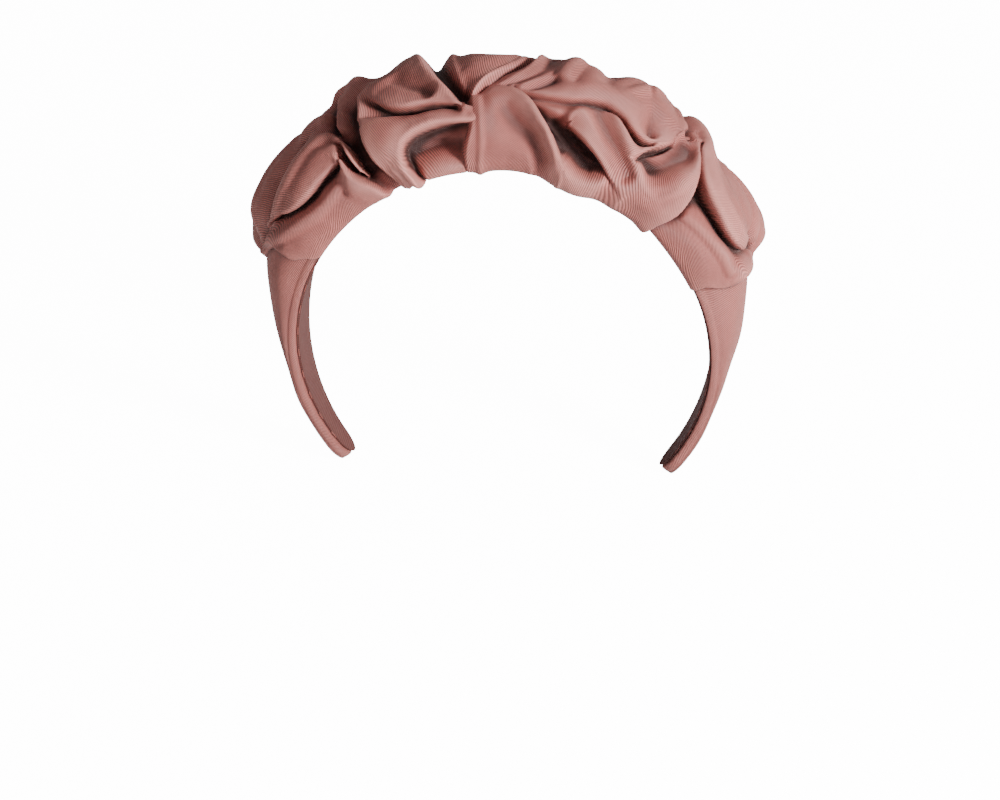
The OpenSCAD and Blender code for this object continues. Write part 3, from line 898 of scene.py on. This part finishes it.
def grosgrain_group():
    """Ribbon ribs across a band that is bent round the Y axis."""
    group, start, end = new_group(
        "grosgrain",
        [("Object", "NodeSocketVector", None), ("Radius m", "NodeSocketFloat", head_r * MM),
         ("Rib pitch m", "NodeSocketFloat", 0.0009)],
        [("Height", "NodeSocketFloat"), ("Rib", "NodeSocketFloat"), ("Cloud", "NodeSocketFloat")])
    place = start.outputs["Object"]
    split = group.nodes.new("ShaderNodeSeparateXYZ")
    group.links.new(place, split.inputs["Vector"])
    bearing = math_node(group, "ARCTAN2", split.outputs["X"], split.outputs["Z"])
    arc = math_node(group, "MULTIPLY", bearing, start.outputs["Radius m"])
    turns = math_node(group, "DIVIDE", arc, start.outputs["Rib pitch m"])
    rib = sine_wave(group, turns)
    warp = math_node(group, "MULTIPLY", noise(group, place, 2600, 2.0), 0.4)
    group.links.new(math_node(group, "ADD", rib, warp), end.inputs["Height"])
    group.links.new(rib, end.inputs["Rib"])
    group.links.new(noise(group, place, 60, 4.0, 0.6), end.inputs["Cloud"])
    return group


def speckle_group():
    """Cells and clouds for foam and moulded plastic."""
    group, start, end = new_group(
        "cells", [("Object", "NodeSocketVector", None), ("Cells per m", "NodeSocketFloat", 900)],
        [("Height", "NodeSocketFloat"), ("Cloud", "NodeSocketFloat")])
    cell = group.nodes.new("ShaderNodeTexVoronoi")
    group.links.new(start.outputs["Object"], cell.inputs["Vector"])
    group.links.new(start.outputs["Cells per m"], cell.inputs["Scale"])
    group.links.new(cell.outputs["Distance"], end.inputs["Height"])
    group.links.new(noise(group, start.outputs["Object"], 70, 4.0, 0.6), end.inputs["Cloud"])
    return group


def surface_material(name, group, dark, light, rough, bump_m, mask=None):
    """A material from a group that gives Height and Cloud, read on object coordinates."""
    mat, tree, shader = new_material(name)
    place = tree.nodes.new("ShaderNodeTexCoord")
    node = tree.nodes.new("ShaderNodeGroup")
    node.node_tree = group
    tree.links.new(place.outputs["Object"], node.inputs["Object"])
    blend = node.outputs["Cloud"]
    if mask:
        cloud = math_node(tree, "MULTIPLY", node.outputs["Cloud"], 0.3)
        blend = math_node(tree, "MULTIPLY_ADD", node.outputs[mask], 0.7, cloud)
    tree.links.new(color_mix(tree, "MIX", blend, (*dark, 1), (*light, 1)), shader.inputs["Base Color"])
    uneven = math_node(tree, "MULTIPLY_ADD", node.outputs["Cloud"], 0.25, rough - 0.12)
    tree.links.new(uneven, shader.inputs["Roughness"])
    bump = tree.nodes.new("ShaderNodeBump")
    bump.inputs["Strength"].default_value = 0.8
    bump.inputs["Distance"].default_value = bump_m
    tree.links.new(node.outputs["Height"], bump.inputs["Height"])
    tree.links.new(bump.outputs["Normal"], shader.inputs["Normal"])
    return mat


def thread_material(name, twisted):
    """Twisted thread: ply lines from the piece's own attribute, or from object coordinates."""
    mat, tree, shader = new_material(name)
    place = tree.nodes.new("ShaderNodeTexCoord").outputs["Object"]
    if twisted:
        turns = attribute(tree, "ply")
    else:
        split = tree.nodes.new("ShaderNodeSeparateXYZ")
        tree.links.new(place, split.inputs["Vector"])
        total = math_node(tree, "ADD", split.outputs["X"], split.outputs["Y"])
        total = math_node(tree, "ADD", total, split.outputs["Z"])
        turns = math_node(tree, "MULTIPLY", total, 1800)
    ply = sine_wave(tree, turns)
    fuzz = noise(tree, place, 900, 3.0)
    tone = math_node(tree, "MULTIPLY", math_node(tree, "ADD", ply, fuzz), 0.6, clamp=True)
    dark, light = (0.09, 0.022, 0.018, 1), (0.36, 0.11, 0.09, 1)
    tree.links.new(color_mix(tree, "MIX", tone, dark, light), shader.inputs["Base Color"])
    rough = math_node(tree, "MULTIPLY_ADD", fuzz, 0.3, 0.4)
    tree.links.new(rough, shader.inputs["Roughness"])
    bump = tree.nodes.new("ShaderNodeBump")
    bump.inputs["Strength"].default_value = 0.7
    bump.inputs["Distance"].default_value = 0.00008
    tree.links.new(ply, bump.inputs["Height"])
    tree.links.new(bump.outputs["Normal"], shader.inputs["Normal"])
    return mat


def paint(obj, mat):
    """Gives a piece its one material."""
    obj.data.materials.clear()
    obj.data.materials.append(mat)


cloth = cloth_material()
for obj in (left_drape, right_drape, base_cover):
    paint(obj, cloth)
nodes = frame["nodes"]
cells = speckle_group()
plastic = surface_material("hoop_plastic", cells, dark=(0.03, 0.027, 0.025), light=(0.06, 0.054, 0.05),
                           rough=0.45, bump_m=0.00002)
ribbon = surface_material("lining_ribbon", grosgrain_group(), dark=(0.055, 0.016, 0.013),
                          light=(0.16, 0.05, 0.042), rough=0.7, bump_m=0.00012, mask="Rib")
sponge = surface_material("foam", cells, dark=(0.62, 0.56, 0.47), light=(0.85, 0.8, 0.72),
                          rough=0.9, bump_m=0.0003)
paint(nodes["hoop"], plastic)
paint(nodes["hoop_lining"], ribbon)
paint(foam, sponge)
tack_thread = thread_material("tack_thread", twisted=True)
for tack in tacks:
    paint(tack, tack_thread)
stitch_thread = thread_material("stitch_thread", twisted=False)
for name in ("front_edge_stitches", "back_edge_stitches"):
    paint(nodes[name], stitch_thread)


# ---------------------------------------------------------------- camera, floor and light
def make_camera():
    """A long lens, a little to the right and above, that takes in the whole band."""
    azimuth, elevation, distance = 6, 25, 1.6
    a, e = math.radians(azimuth), math.radians(elevation)
    back = Vector((math.sin(a) * math.cos(e), -math.cos(a) * math.cos(e), math.sin(e)))
    target = Vector((-0.0025, 0, -0.0258))
    data = bpy.data.cameras.new("camera")
    data.lens = 158
    cam = bpy.data.objects.new("camera", data)
    bpy.context.scene.collection.objects.link(cam)
    cam.location = target + back * distance
    cam.rotation_mode = "QUATERNION"
    cam.rotation_quaternion = (-back).to_track_quat("-Z", "Y")
    data.clip_start, data.clip_end = 0.05, 50
    bpy.context.scene.camera = cam


def light_disk(name, where, aim, size, watts):
    """A round soft light that faces aim."""
    data = bpy.data.lights.new(name, "AREA")
    data.shape = "DISK"
    data.size = size
    data.energy = watts
    light = bpy.data.objects.new(name, data)
    bpy.context.scene.collection.objects.link(light)
    light.location = where
    light.rotation_mode = "QUATERNION"
    light.rotation_quaternion = (Vector(aim) - Vector(where)).to_track_quat("-Z", "Y")


def make_stage():
    """A pale floor, a key light from the right, a weak fill and top light, and a dim sky."""
    bm = bmesh.new()
    bmesh.ops.create_grid(bm, x_segments=1, y_segments=1, size=6)
    floor = make_object("floor", bm)
    floor.location.z = hoop_lo.z * MM - 0.002
    mat, tree, shader = new_material("floor")
    shader.inputs["Base Color"].default_value = (0.8, 0.8, 0.8, 1)
    shader.inputs["Roughness"].default_value = 0.95
    shader.inputs["Emission Color"].default_value = (1, 1, 1, 1)
    path = tree.nodes.new("ShaderNodeLightPath")
    glow = math_node(tree, "MULTIPLY", path.outputs["Is Camera Ray"], SEEN_FLOOR)
    tree.links.new(glow, shader.inputs["Emission Strength"])
    paint(floor, mat)
    light_disk("key", (1.18, -0.9, 0.5), (0, 0, 0.05), 0.34, 58)
    light_disk("fill", (-1.2, -1.1, 0.3), (0, 0, 0.05), 0.7, 4.5)
    light_disk("top", (0.25, 0.35, 1.3), (0, 0, 0.05), 0.6, 2.5)
    world = bpy.data.worlds.new("world")
    bpy.context.scene.world = world
    world.use_nodes = True
    tree = world.node_tree
    sky = tree.nodes["Background"]
    sky.inputs["Color"].default_value = (1, 1, 1, 1)
    path = tree.nodes.new("ShaderNodeLightPath")
    strength = math_node(tree, "MULTIPLY_ADD", path.outputs["Is Camera Ray"], SEEN_SKY, SKY)
    tree.links.new(strength, sky.inputs["Strength"])


make_camera()
make_stage()
